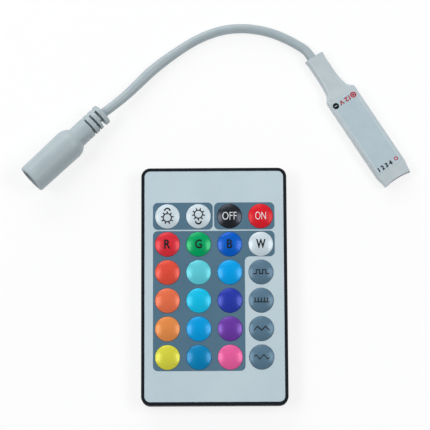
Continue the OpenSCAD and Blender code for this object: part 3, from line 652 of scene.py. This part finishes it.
# The keys that share one film, each with that film's name; these keys take the lower gloss
SHARED_SLOTS = {"key_brighter": "key_white_film", "key_dimmer": "key_white_film",
                "key_off": "key_black_film", "key_on": "key_red_film",
                **{name: "key_slate_film" for name in MODE_MARKS}}
# Each word or letter on a key: its width, its height and what its strokes gain
LETTERS = {
    "key_off": ("OFF", 5.1, 2.8, -0.01, white_ink), "key_on": ("ON", 3.8, 2.8, -0.01, white_ink),
    "key_red": ("R", 2.3, 3.3, 0.025, dark_ink), "key_green": ("G", 2.5, 3.3, 0.025, dark_ink),
    "key_blue": ("B", 2.0, 3.3, 0.025, dark_ink), "key_white": ("W", 3.4, 3.3, 0.035, dark_ink)}
# A dome: its height, the arc at its edge, and how far the edge leans in, in degrees
DOME_H = 1.0
DOME_EDGE_R = 0.3
DOME_DRAFT = 30
EDGE_STEPS, CROWN_STEPS, DOME_STEPS = 10, 8, 72
PLUNGER_R = 1.6
KEY_INK_T = 0.02
# Foot of the skin that cuts the keys' prints, just under where they start
SKIN_LOW = 6.8


def key_middle(name):
    """Plan place of a key's middle, in millimetres."""
    low, high = local_box(name, REMOTE)
    return (low + high) / 2


def dome_profile(grown=0):
    """Half section of a domed key, as the points of its plunger and those of its cap, which is a
    shallow crown that an arc turns down."""
    low, high = local_box("key_red", REMOTE)
    radius = (high.x - low.x) / 2
    base = high.z - DOME_H
    draft = math.radians(DOME_DRAFT)
    edge_x = radius - DOME_EDGE_R * math.cos(draft)
    edge_drop = DOME_EDGE_R * math.sin(draft)
    rise = DOME_H + edge_drop
    crown_r = (edge_x ** 2 + rise ** 2 - DOME_EDGE_R ** 2) / (2 * (rise - DOME_EDGE_R))
    meet = math.degrees(math.atan2(crown_r - rise, edge_x))
    edge = arc((edge_x, base - edge_drop), DOME_EDGE_R + grown, DOME_DRAFT, meet, EDGE_STEPS)
    crown = arc((0, high.z - crown_r), crown_r + grown, meet, 90, CROWN_STEPS)
    return [(0, low.z), (PLUNGER_R, low.z), (PLUNGER_R, base)], [*edge, *crown[1:]]


def domed_key(name, dome):
    """One key: the spun dome in its own ink."""
    middle = key_middle(name)
    piece = copied(dome, name + "_cap")
    gloss = SHARED_GLOSS if name in SHARED_SLOTS else OWN_GLOSS
    settle(piece, REMOTE @ Matrix.Translation((middle.x, middle.y, 0)), name,
           key_ink(name + "_ink", KEYS[name], gloss),
           SHARED_SLOTS.get(name, name + "_film"), name)


def print_on_key(name, skin, print_solid, ink):
    """Ink that follows the key's dome, from a tall solid cut by a skin just over the dome."""
    middle = key_middle(name)
    combine(print_solid, copied(skin, "skin"), "INTERSECT", use_self=True)
    print_solid.name = name + "_print"
    settle(print_solid, REMOTE @ Matrix.Translation((middle.x, middle.y, 0)), name, ink,
           SHARED_SLOTS.get(name, name + "_film"))


def keypad():
    """The keys with their suns, letters and mode marks."""
    stem, cap = dome_profile()
    dome = smoothed(spun("dome", [*stem, *cap], DOME_STEPS))
    for name in KEYS:
        domed_key(name, dome)
    bpy.data.objects.remove(dome)
    inked_cap = dome_profile(KEY_INK_T)[1]
    skin = spun("skin", [*inked_cap, (0, SKIN_LOW)], DOME_STEPS)
    print_on_key("key_brighter", skin, sun_mark(1), dark_ink)
    print_on_key("key_dimmer", skin, sun_mark(-1), dark_ink)
    for name, (text, width, height, weight, ink) in LETTERS.items():
        print_on_key(name, skin, lettered(text, width, height, weight), ink)
    for name, mark in MODE_MARKS.items():
        print_on_key(name, skin, mark(), dark_ink)
    bpy.data.objects.remove(skin)


FILM_CORNER_R = 2.0
FILM_HOLE_GAP = 0.08
# The slate panels: their ink and corners, the edges of the two small ones at the top, and those
# of the tall one, which is stepped at its lower right
PANEL_INK_T = 0.03
PANEL_CORNER_R = 1.75
PANEL_LEFT, PANEL_RIGHT = -21.8, 21.6
PANEL_TOP_LOW, PANEL_TOP_HIGH = 20.1, 29.9
PANEL_SPLIT_LEFT, PANEL_SPLIT_RIGHT = -0.45, 0.05
PANEL_LOW, PANEL_HIGH = -30.4, 19.65
PANEL_STEP_X, PANEL_STEP_Y = 10.9, 10.4


def disc_cutters(names, radius, low, high):
    """One tool of upright posts on the middles of keys."""
    return joined([post(key_middle(name), radius, low, high) for name in names], "cutters")


def printed_front():
    """The film with its key holes, and the slate panels printed on it."""
    low, high = local_box("front_film", REMOTE)
    key_low, key_high = local_box("key_red", REMOTE)
    hole_r = (key_high.x - key_low.x) / 2 + FILM_HOLE_GAP
    cut_low, cut_high = low.z - OVERRUN, high.z + OVERRUN
    film = plate("printed_film", low, high, low.z, high.z - low.z, FILM_CORNER_R)
    combine(film, disc_cutters(KEYS, hole_r, cut_low, cut_high), "DIFFERENCE")
    settle(smoothed(film), REMOTE, "handset", velvet_film, "printed_film", "front_film")
    left = plate("slate_panel_left", (PANEL_LEFT, PANEL_TOP_LOW),
                 (PANEL_SPLIT_LEFT, PANEL_TOP_HIGH), high.z, PANEL_INK_T, PANEL_CORNER_R)
    right = plate("slate_panel_right", (PANEL_SPLIT_RIGHT, PANEL_TOP_LOW),
                  (PANEL_RIGHT, PANEL_TOP_HIGH), high.z, PANEL_INK_T, PANEL_CORNER_R)
    colour_keys = [name for name in KEYS if name not in MODE_MARKS]
    for panel in (left, right, stepped_panel(high.z)):
        combine(panel, disc_cutters(colour_keys, hole_r, cut_low, cut_high), "DIFFERENCE")
        settle(smoothed(panel), REMOTE, "handset", slate_ink, "printed_film")


def stepped_panel(z):
    """The tall panel, whose lower right part is cut away beside the mode keys."""
    panel = started("slate_panel_main", bpy.ops.mesh.primitive_plane_add, size=1)
    size = (PANEL_RIGHT - PANEL_LEFT, PANEL_HIGH - PANEL_LOW, 1)
    middle = ((PANEL_LEFT + PANEL_RIGHT) / 2, (PANEL_LOW + PANEL_HIGH) / 2, z)
    with shaping(panel):
        bpy.ops.mesh.select_all(action="SELECT")
        bpy.ops.transform.resize(value=size, center_override=(0, 0, 0))
        bpy.ops.transform.translate(value=middle)
        bpy.ops.mesh.bisect(plane_co=(PANEL_STEP_X, 0, z), plane_no=(1, 0, 0))
        bpy.ops.mesh.select_all(action="SELECT")
        bpy.ops.mesh.bisect(plane_co=(0, PANEL_STEP_Y, z), plane_no=(0, 1, 0))
        select_faces(panel, lambda f: f.calc_center_median().x > PANEL_STEP_X
                     and f.calc_center_median().y < PANEL_STEP_Y)
        bpy.ops.mesh.delete(type="FACE")
        bpy.ops.mesh.select_all(action="SELECT")
        bpy.ops.mesh.dissolve_limited(angle_limit=math.radians(FLAT_ANGLE))
        bpy.ops.mesh.select_all(action="SELECT")
        bpy.ops.mesh.bevel(offset=PANEL_CORNER_R, segments=CORNER_STEPS, affect="VERTICES")
        thickened(PANEL_INK_T)
    return panel


def eased_copy(node, name, edge, body, slot):
    """Replaces a CAD solid by its copy, with flat faces dissolved and sharp edges rounded."""
    source = nodes[node]
    piece = bpy.data.objects.new(name, source.data.copy())
    bpy.context.scene.collection.objects.link(piece)
    piece.data.transform(Matrix.Scale(1 / MM, 4) @ source.matrix_world)
    with shaping(piece):
        bpy.ops.mesh.select_all(action="SELECT")
        bpy.ops.mesh.remove_doubles(threshold=MERGE)
        bpy.ops.mesh.dissolve_limited(angle_limit=math.radians(FLAT_ANGLE))
        bpy.ops.mesh.select_all(action="SELECT")
        bpy.ops.mesh.normals_make_consistent(inside=False)
    settle(smoothed(eased(piece, edge)), REMOTE, body, NODE_FINISHES[node], slot, node)


SHELL_EDGE, DRAWER_EDGE, CELL_EDGE = 0.1, 0.08, 0.1


def card_remote():
    """The remote's shells, drawer, cell, printed front and keys."""
    eased_copy("case_front", "shell_front", SHELL_EDGE, "handset", "case_black")
    eased_copy("case_back", "shell_back", SHELL_EDGE, "handset", "case_black")
    eased_copy("battery_tray", "drawer", DRAWER_EDGE, "battery_drawer", "case_black")
    eased_copy("coin_cell", "cell", CELL_EDGE, "battery_drawer", "coin_cell_steel")
    printed_front()
    keypad()


card_remote()


# Power socket: radii of the moulding, and distances along it from the flange's end face

MOULDING_LIP, MOULDING_EDGE, INSERT_EDGE = 0.3, 0.12, 0.08
FLANGE_R, FLANGE_T = 4.0, 1.6
NECK_R = 3.9
BARREL_R, BARREL_AT = 5.65, 17.0
SHOULDER_R, SHOULDER_STEPS = 5.2, 14
MOUTH_R = 5.4
CAVITY_R, CAVITY_AT = 3.95, 21.35
# Radius that a slot leaves of the relief, and the radius that a shallow notch leaves
CORE_R, WEB_R = 1.9, 3.4
# Spans of the cuts round the relief in degrees, where 0 is up and 90 faces the remote
UPPER_SLOT, LOWER_SLOT = (-34, 80), (128, 252)
NEAR_NOTCH, FAR_NOTCH, LAST_NOTCH = (78, 165), (-108, -58), (70, 165)
# The bent lead opens the slot at the flange, and makes it gape on the side of the remote
OPEN_SLOT, GAPING_SLOT = (-30, 180), (28, 150)
# The other slots, each with its distance from the flange's end face and its width
SLOTS = [(4.1, 0.85), (6.5, 0.8)]
# Each cut of the relief: its distance, its width, the radius that it leaves and its span
RELIEF_CUTS = [(FLANGE_T, 0.9, CORE_R, OPEN_SLOT), (FLANGE_T, 1.5, CORE_R, GAPING_SLOT),
               (FLANGE_T, 0.9, WEB_R, FAR_NOTCH),
               *[(at, width, CORE_R, span) for at, width in SLOTS
                 for span in (UPPER_SLOT, LOWER_SLOT)],
               *[(at, width, WEB_R, span) for at, width in SLOTS
                 for span in (NEAR_NOTCH, FAR_NOTCH)],
               (9.0, 0.6, WEB_R, LAST_NOTCH)]
# Degrees of one step of a cut
CUT_STEP = 6


def sector(inner, outer, z, width, start, end):
    """Part of a flat ring between two angles: a rectangle on edge, spun about Z."""
    piece = started("sector", bpy.ops.mesh.primitive_plane_add, size=1)
    middle = ((inner + outer) / 2, 0, z + width / 2)
    with shaping(piece):
        bpy.ops.mesh.select_all(action="SELECT")
        bpy.ops.transform.rotate(value=math.pi / 2, orient_axis="X", center_override=(0, 0, 0))
        bpy.ops.transform.resize(value=(outer - inner, 1, width), center_override=(0, 0, 0))
        bpy.ops.transform.translate(value=middle)
        bpy.ops.transform.rotate(value=math.radians(start), orient_axis="Z",
                                 center_override=(0, 0, 0))
        bpy.ops.mesh.spin(steps=round((end - start) / CUT_STEP),
                          angle=math.radians(end - start), center=(0, 0, 0), axis=(0, 0, 1))
        closed_up()
    return piece


def power_socket():
    """The moulding over the socket, its slotted relief, and the insert in its mouth."""
    length = local_box("socket_moulding", SOCKET)[1].z
    shoulder_at = BARREL_R - SHOULDER_R
    meet = -math.degrees(math.acos((NECK_R - shoulder_at) / SHOULDER_R))
    profile = [(0, 0), (FLANGE_R - MOULDING_LIP, 0), (FLANGE_R, MOULDING_LIP),
               (FLANGE_R, FLANGE_T), (NECK_R, FLANGE_T),
               *arc((shoulder_at, BARREL_AT), SHOULDER_R, meet, 0, SHOULDER_STEPS),
               (MOUTH_R, length - MOULDING_LIP), (MOUTH_R - MOULDING_LIP, length),
               (CAVITY_R, length), (CAVITY_R, CAVITY_AT), (0, CAVITY_AT)]
    moulding = spun("over_moulding", profile)
    for z, width, inner, (start, end) in RELIEF_CUTS:
        tool = sector(inner, FLANGE_R + OVERRUN, z, width, start, end)
        combine(moulding, tool, "DIFFERENCE")
    settle(smoothed(eased(moulding, MOULDING_EDGE, segments=3)), SOCKET, "handset", moulded_pvc,
           "moulding_white", "socket_moulding")
    eased_copy("socket_insert", "mouth_insert", INSERT_EDGE, "handset", "chip_black")


power_socket()


# Receiver

# Sections of the sleeve: width, height, corner radius, middle across, middle height
NECK_SECTION = (7.2, 4.0, 1.96, -0.4, 2.1)
BODY_SECTION = (12.0, 4.3, 0.9, 0, 2.15)
MOUTH_SECTION = (10.7, 3.1, 0.47, 0, 2.57)
# Shares of the flare's length, and of the change from the neck's section to the body's
FLARE_SHARES = [(0, 0), (0.12, 0.03), (0.25, 0.07), (0.4, 0.11), (0.55, 0.19), (0.7, 0.3),
                (0.82, 0.55), (0.92, 0.85), (1, 1)]
# The same from the body's section to the output end's
MOUTH_SHARES = [(0, 0), (0.28, 0.38), (0.56, 0.78), (0.8, 0.96), (1, 1)]
# How much wider the neck's mouth is, and over what length
NECK_SPREAD, NECK_SPREAD_L = 0.5, 2
# Distances from the neck's mouth
NECK_END, SHOULDER, BODY_END = 9, 17, 50
RING_CORNER_STEPS = 7
SLEEVE_WALL = 0.2
MOUTH_DIP, MOUTH_DIP_STEPS = 0.6, 256
SLEEVE_SMOOTH_ANGLE = 50


def between(a, b, share):
    """Numbers part of the way from one section to another."""
    return [p + (q - p) * share for p, q in zip(a, b)]


def sleeve_ring(x, section):
    """An upright ring of the sleeve at a distance from the neck's mouth."""
    width, height, corner, across, up = section
    ring = started("ring", bpy.ops.mesh.primitive_plane_add, size=1)
    with shaping(ring):
        bpy.ops.mesh.select_all(action="SELECT")
        bpy.ops.transform.resize(value=(height, width, 1), center_override=(0, 0, 0))
        bpy.ops.mesh.bevel(offset=corner, segments=RING_CORNER_STEPS, affect="VERTICES")
        bpy.ops.mesh.select_all(action="SELECT")
        bpy.ops.transform.rotate(value=math.pi / 2, orient_axis="Y", center_override=(0, 0, 0))
        bpy.ops.transform.translate(value=(x, across, up))
        bpy.ops.mesh.delete(type="ONLY_FACE")
    return ring


def sleeve():
    """The shrunk sleeve: a skin bridged over rings, with a hollowed edge at its flat mouth."""
    length = local_box("shrink_sleeve", RECEIVER)[1].x
    end_section = (NECK_SECTION[0] + NECK_SPREAD, *NECK_SECTION[1:])
    rings = [sleeve_ring(0, end_section), sleeve_ring(NECK_SPREAD_L, NECK_SECTION)]
    for run, share in FLARE_SHARES:
        rings.append(sleeve_ring(NECK_END + (SHOULDER - NECK_END) * run,
                                 between(NECK_SECTION, BODY_SECTION, share)))
    for run, share in MOUTH_SHARES:
        rings.append(sleeve_ring(BODY_END + (length - BODY_END) * run,
                                 between(BODY_SECTION, MOUTH_SECTION, share)))
    skin = joined(rings, "sleeve")
    with shaping(skin):
        bpy.ops.mesh.select_all(action="SELECT")
        bpy.ops.mesh.bridge_edge_loops()
        bpy.ops.mesh.select_all(action="SELECT")
        bpy.ops.mesh.normals_make_consistent(inside=False)
    apply(skin, "SOLIDIFY", thickness=SLEEVE_WALL, offset=-1)
    half = MOUTH_SECTION[0] / 2
    hollow_r = (half ** 2 + MOUTH_DIP ** 2) / (2 * MOUTH_DIP)
    hollow = post((length - MOUTH_DIP + hollow_r, 0), hollow_r, -OVERRUN,
                  BODY_SECTION[1] + OVERRUN, MOUTH_DIP_STEPS)
    combine(skin, hollow, "DIFFERENCE")
    settle(smoothed(skin, SLEEVE_SMOOTH_ANGLE), RECEIVER, "handset", shrunk_polyolefin,
           "sleeve_white", "shrink_sleeve")


# The label's corners, the corners inside the painted highlight round its edge, and that
# highlight's place and width
LABEL_CORNER_R, LABEL_INNER_R = 0.9, 0.7
LABEL_EDGE, LABEL_LINE = 0.3, 0.18
LABEL_INK_T = 0.02
PLUS_AT, PLUS_R, PLUS_RIM, PLUS_REACH, PLUS_LINE = (19.63, 3.58), 0.62, 0.5, 0.5, 0.4
MINUS_AT, MINUS_R, MINUS_REACH, MINUS_LINE = (19.79, -4.01), 1.15, 0.55, 0.26
FIRST_PIN_AT, FIRST_PIN_R, FIRST_PIN_LINE = (47.6, 3.5), 0.4, 0.34
# Place, width, height and what the strokes gain
SUPPLY_AT, SUPPLY_SIZE = (19.8, -0.2), (4.5, 1.75, 0.04)
OUTPUT_NUMBERS_AT, OUTPUT_NUMBERS_SIZE = (47.8, -1.3), (5.8, 1.8, 0.05)
HEADER_EDGE = 0.06


def on_label(piece, name, ink, at=(0, 0), degrees=0):
    """Puts a finished print under its name in its place on the label."""
    piece.name = name
    turned = Matrix.Translation((*at, 0)) @ Matrix.Rotation(math.radians(degrees), 4, "Z")
    settle(piece, RECEIVER @ turned, "handset", ink, "label_paper")


def label_edge_highlight(low, high):
    """A painted highlight: a pale line just inside the label's edge, where that edge catches the
    light.
    """
    reach = Vector((LABEL_EDGE, LABEL_EDGE, 0))
    line = Vector((LABEL_LINE, LABEL_LINE, 0))
    edge = plate("outline", low + reach, high - reach, high.z, LABEL_INK_T, LABEL_CORNER_R)
    inside = plate("inside", low + reach + line, high - reach - line, high.z - OVERRUN,
                   2 * OVERRUN, LABEL_INNER_R)
    combine(edge, inside, "DIFFERENCE")
    return edge


def label():
    """The label with a painted highlight round its edge, its supply marks and the numbers of the
    outputs.
    """
    low, high = local_box("rating_label", RECEIVER)
    paper = plate("label_paper", low, high, low.z, high.z - low.z, LABEL_CORNER_R)
    settle(smoothed(paper), RECEIVER, "handset", coated_paper, "label_paper", "rating_label")
    # A pale line painted round the label's edge as the highlight on that edge
    on_label(label_edge_highlight(low, high), "label_edge_highlight", painted_edge_highlight)
    flat = {"z": high.z, "tall": LABEL_INK_T}
    plus = joined([hoop((0, 0), PLUS_R, PLUS_RIM, **flat),
                   bar((-PLUS_REACH, 0), (PLUS_REACH, 0), PLUS_LINE, **flat),
                   bar((0, -PLUS_REACH), (0, PLUS_REACH), PLUS_LINE, **flat)], "plus")
    on_label(plus, "plus_mark", red_ink, PLUS_AT)
    minus = post((0, 0), MINUS_R, high.z, high.z + LABEL_INK_T)
    combine(minus, bar((0, -MINUS_REACH), (0, MINUS_REACH), MINUS_LINE, high.z - OVERRUN,
                       2 * OVERRUN), "DIFFERENCE")
    on_label(grounded(minus), "minus_mark", dark_ink, MINUS_AT)
    on_label(lettered("12 V", *SUPPLY_SIZE, **flat), "supply_print", red_ink, SUPPLY_AT, -90)
    on_label(lettered("1 2 3 4", *OUTPUT_NUMBERS_SIZE, **flat), "output_numbers", dark_ink,
             OUTPUT_NUMBERS_AT, 90)
    on_label(hoop((0, 0), FIRST_PIN_R, FIRST_PIN_LINE, **flat), "first_pin_mark", red_ink,
             FIRST_PIN_AT)


sleeve()
label()
eased_copy("output_header", "header", HEADER_EDGE, "handset", "header_black")


# Floor, room and lamps, with places and sizes in metres

FLOOR_SIZE = 6
# The floor lies just under the set, so that no two faces share a plane
FLOOR_GAP = 0.0001
FLOOR_GLOW = 0.8
WALL_LIGHT, CEILING_LIGHT = 0.45, 0.04
# Each soft box: its place, its length across, its width up and its watts
LAMPS = {"main_lamp": ((-0.3, 0.95, 0.5), 0.8, 0.6, 5.4),
         "left_strip": ((-0.57, 0.06, 0.7), 0.5, 0.28, 3.35),
         "right_strip": ((0.57, 0.06, 0.7), 0.5, 0.28, 3.25)}


def seen_ray(material):
    """1 where a ray from the camera, a glossy face or clear plastic arrives, and 0 elsewhere."""
    path = add(material, "ShaderNodeLightPath")
    seen = add(material, "ShaderNodeMath", [(path, "Is Camera Ray", 0),
                                            (path, "Is Glossy Ray", 1)], operation="MAXIMUM")
    return add(material, "ShaderNodeMath", [(seen, "Value", 0),
                                            (path, "Is Transmission Ray", 1)],
               operation="MAXIMUM")


def pale_floor():
    """A floor that is white where it is seen and keeps a soft shadow."""
    floor = started("floor", bpy.ops.mesh.primitive_plane_add, size=FLOOR_SIZE,
                    location=(0, 0, -FLOOR_GAP))
    material, shader = new_material("matt_white_board", 0.9, Base_Color=srgb("#fbfcfd"))
    glow = add(material, "ShaderNodeEmission", Strength=1.0)
    share = add(material, "ShaderNodeMath", [(seen_ray(material), "Value", 0)],
                operation="MULTIPLY")
    share.inputs[1].default_value = FLOOR_GLOW
    mix = add(material, "ShaderNodeMixShader", [(share, "Value", "Fac"), (shader, "BSDF", 1),
                                                (glow, "Emission", 2)])
    out = material.node_tree.nodes["Material Output"]
    material.node_tree.links.new(mix.outputs[0], out.inputs["Surface"])
    finish_with(floor, material)


def studio_room():
    """A room with pale walls and a dim ceiling, which is white behind the floor's edge."""
    world = bpy.data.worlds.new("studio_room")
    world.use_nodes = True
    bpy.context.scene.world = world
    direction = add(world, "ShaderNodeTexCoord")
    height = add(world, "ShaderNodeSeparateXYZ", [(direction, "Generated", "Vector")])
    level = add(world, "ShaderNodeMapRange", [(height, "Z", "Value")],
                To_Min=WALL_LIGHT, To_Max=CEILING_LIGHT)
    path = add(world, "ShaderNodeLightPath")
    shown = add(world, "ShaderNodeMath", [(level, "Result", 0), (path, "Is Camera Ray", 1)],
                operation="MAXIMUM")
    background = world.node_tree.nodes["Background"]
    background.inputs["Color"].default_value = srgb("#ffffff")
    world.node_tree.links.new(shown.outputs["Value"], background.inputs["Strength"])


def lamp(name, at, length, width, watts):
    """A soft box that faces the middle of the set."""
    bpy.ops.object.light_add(type="AREA", location=at)
    light = bpy.context.object
    light.name = name
    light.data.shape = "RECTANGLE"
    light.data.size = length
    light.data.size_y = width
    light.data.energy = watts
    middle = (cad_low + cad_high) / 2
    light.rotation_euler = (Vector(at) - middle).to_track_quat("Z", "Y").to_euler()


def studio():
    """The floor, the room, a main lamp behind the set and a strip lamp on each side."""
    pale_floor()
    studio_room()
    for name, (at, length, width, watts) in LAMPS.items():
        lamp(name, at, length, width, watts)


studio()
bpy.context.scene.view_settings.view_transform = "Standard"
